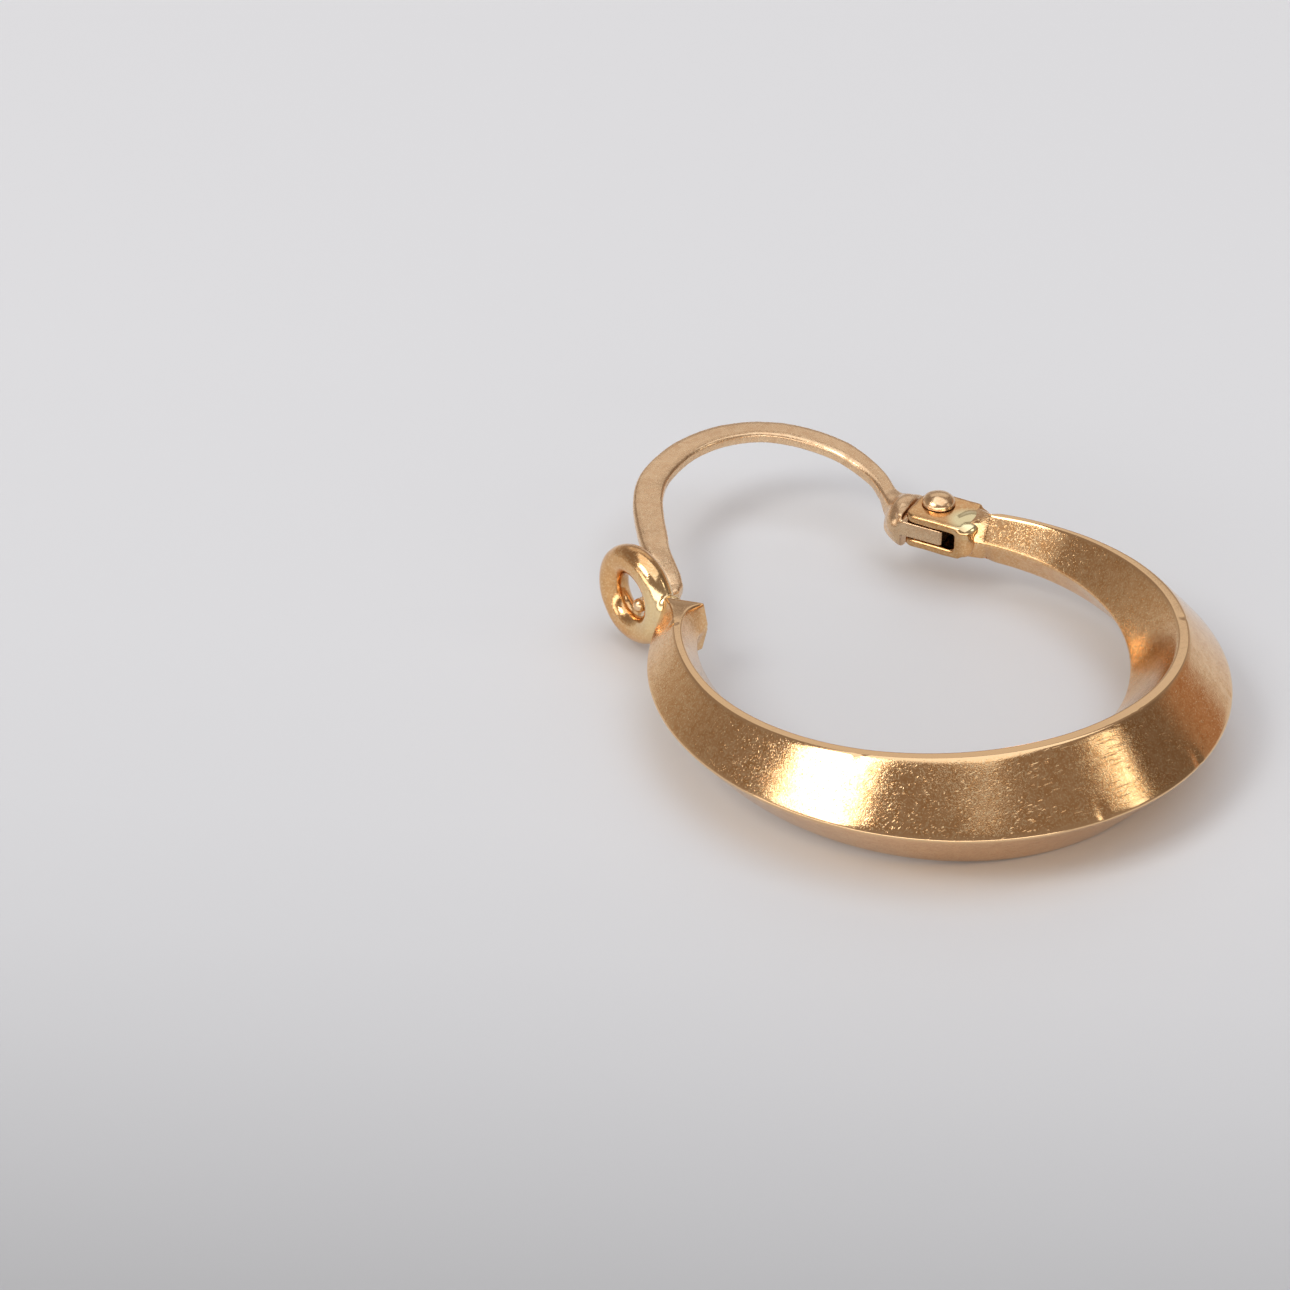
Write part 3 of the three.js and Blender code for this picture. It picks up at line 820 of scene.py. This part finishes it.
def make_floor():
    deselect()
    bpy.ops.mesh.primitive_plane_add(size=FLOOR_WIDTH, location=(0.0, 0.0, 0.0))
    floor = named("pale_floor")
    material = bpy.data.materials.new("pale_floor_with_painted_shade")
    material.use_nodes = True
    nodes = material.node_tree.nodes
    links = material.node_tree.links
    shader = nodes["Principled BSDF"]
    shader.inputs["Roughness"].default_value = FLOOR_ROUGHNESS
    coordinates = nodes.new("ShaderNodeTexCoord")
    ahead = nodes.new("ShaderNodeVectorMath")
    ahead.operation = "DOT_PRODUCT"
    ahead.inputs[1].default_value = FLOOR_FRONT
    links.new(coordinates.outputs["Object"], ahead.inputs[0])
    distance = nodes.new("ShaderNodeMapRange")
    distance.inputs["From Min"].default_value = FLOOR_SHADE_TONES[0][0] * MM
    distance.inputs["From Max"].default_value = FLOOR_SHADE_TONES[-1][0] * MM
    links.new(ahead.outputs["Value"], distance.inputs["Value"])
    # Painted shade: the floor's colour darkens from the back towards the front
    ramp = nodes.new("ShaderNodeValToRGB")
    stops = ramp.color_ramp.elements
    stops.remove(stops[1])
    for number, (place, tone) in enumerate(FLOOR_SHADE_TONES):
        at = (place - FLOOR_SHADE_TONES[0][0]) / (FLOOR_SHADE_TONES[-1][0] - FLOOR_SHADE_TONES[0][0])
        stop = stops[0] if number == 0 else stops.new(at)
        stop.position = at
        stop.color = (*(tone * tint for tint in FLOOR_TINT), 1.0)
    links.new(distance.outputs["Result"], ramp.inputs["Fac"])
    links.new(ramp.outputs["Color"], shader.inputs["Base Color"])
    floor.data.materials.append(material)


make_floor()


# Light: a large panel overhead and soft boxes where the metal mirrors them. Name, azimuth and elevation in
# degrees, distance, width and height in metres, radiance and colour
LAMPS = [
    ("overhead_panel", -60.0, 84.0, 1.1, 1.3, 1.3, 1.02, (0.955, 1.005, 1.065)),
    ("left_softbox", 183.0, 47.0, 0.7, 0.27, 0.26, 6.5, (1.0, 0.99, 0.96)),
    ("left_middle_panel", 184.0, 28.0, 0.7, 0.44, 0.17, 0.32, (1.0, 0.98, 0.98)),
    ("left_low_panel", 184.0, 12.0, 0.7, 0.44, 0.18, 1.75, (1.0, 0.98, 0.96)),
    ("right_strip", -43.0, 30.0, 0.7, 0.085, 0.2, 2.2, (1.0, 0.98, 0.9)),
    ("front_low_panel", -118.0, 13.0, 0.8, 1.3, 0.26, 2.2, (1.0, 0.99, 0.99)),
    ("back_panel", 54.0, 36.0, 1.0, 0.9, 0.5, 0.45, (0.98, 0.99, 1.0)),
]


def softbox(name, azimuth, elevation, distance, width, height, radiance, colour):
    direction = Vector((math.cos(math.radians(azimuth)) * math.cos(math.radians(elevation)),
                        math.sin(math.radians(azimuth)) * math.cos(math.radians(elevation)),
                        math.sin(math.radians(elevation))))
    light = bpy.data.lights.new(name, "AREA")
    light.shape = "RECTANGLE"
    light.size = width
    light.size_y = height
    light.energy = radiance * math.pi * width * height
    light.color = colour
    lamp = bpy.data.objects.new(name, light)
    bpy.context.scene.collection.objects.link(lamp)
    lamp.visible_camera = False
    lamp.location = centre + direction * distance
    lamp.rotation_euler = direction.to_track_quat("Z", "Y").to_euler()


for lamp_row in LAMPS:
    softbox(*lamp_row)

# The dim room: share of the way up and its tone, from low to high
ROOM_TONES = [(0.08, (0.50, 0.45, 0.41)), (0.4, (0.29, 0.24, 0.21))]

# Darker parts of the room on the right: direction, how near to it the part starts and is full, and tone
DARK_PARTS = [
    ((0.86, -0.35, 0.37), 0.93, 0.975, (0.19, 0.15, 0.125)),
    ((0.99, 0.02, 0.1), 0.955, 0.985, (0.40, 0.25, 0.17)),
]
world = bpy.data.worlds.new("dim_room")
bpy.context.scene.world = world
world.use_nodes = True
sky_nodes = world.node_tree.nodes
sky_links = world.node_tree.links
sky_place = sky_nodes.new("ShaderNodeTexCoord")
sky_height = sky_nodes.new("ShaderNodeSeparateXYZ")
sky_links.new(sky_place.outputs["Generated"], sky_height.inputs["Vector"])
sky_ramp = sky_nodes.new("ShaderNodeValToRGB")
for stop, (position, tone) in zip(sky_ramp.color_ramp.elements, ROOM_TONES):
    stop.position = position
    stop.color = (*tone, 1.0)
sky_links.new(sky_height.outputs["Z"], sky_ramp.inputs["Fac"])
sky_colour = sky_ramp.outputs["Color"]
for direction, start, full, tone in DARK_PARTS:
    nearness = sky_nodes.new("ShaderNodeVectorMath")
    nearness.operation = "DOT_PRODUCT"
    nearness.inputs[1].default_value = direction
    sky_links.new(sky_place.outputs["Generated"], nearness.inputs[0])
    amount = sky_nodes.new("ShaderNodeMapRange")
    amount.inputs["From Min"].default_value = start
    amount.inputs["From Max"].default_value = full
    sky_links.new(nearness.outputs["Value"], amount.inputs["Value"])
    blend = sky_nodes.new("ShaderNodeMix")
    blend.data_type = "RGBA"
    blend.inputs[7].default_value = (*tone, 1.0)
    sky_links.new(amount.outputs["Result"], blend.inputs["Factor"])
    sky_links.new(sky_colour, blend.inputs[6])
    sky_colour = blend.outputs[2]
sky_links.new(sky_colour, sky_nodes["Background"].inputs["Color"])
sky_nodes["Background"].inputs["Strength"].default_value = 1.0
bpy.context.scene.view_settings.view_transform = "Standard"

# The camera, at the photograph's angle
CAMERA_FROM_CENTRE = Vector((-78.41, -104.21, 85.81)) * MM
CAMERA_TURN = (56.695, -1.246, -31.922)
CAMERA_LENS = 128.37
SENSOR_WIDTH = 36.0
lens = bpy.data.cameras.new("photo_camera")
lens.lens = CAMERA_LENS
lens.sensor_width = SENSOR_WIDTH
lens.clip_start = 0.005
lens.clip_end = 20.0
camera = bpy.data.objects.new("photo_camera", lens)
bpy.context.scene.collection.objects.link(camera)
camera.location = centre + CAMERA_FROM_CENTRE
camera.rotation_euler = [math.radians(angle) for angle in CAMERA_TURN]
bpy.context.scene.camera = camera
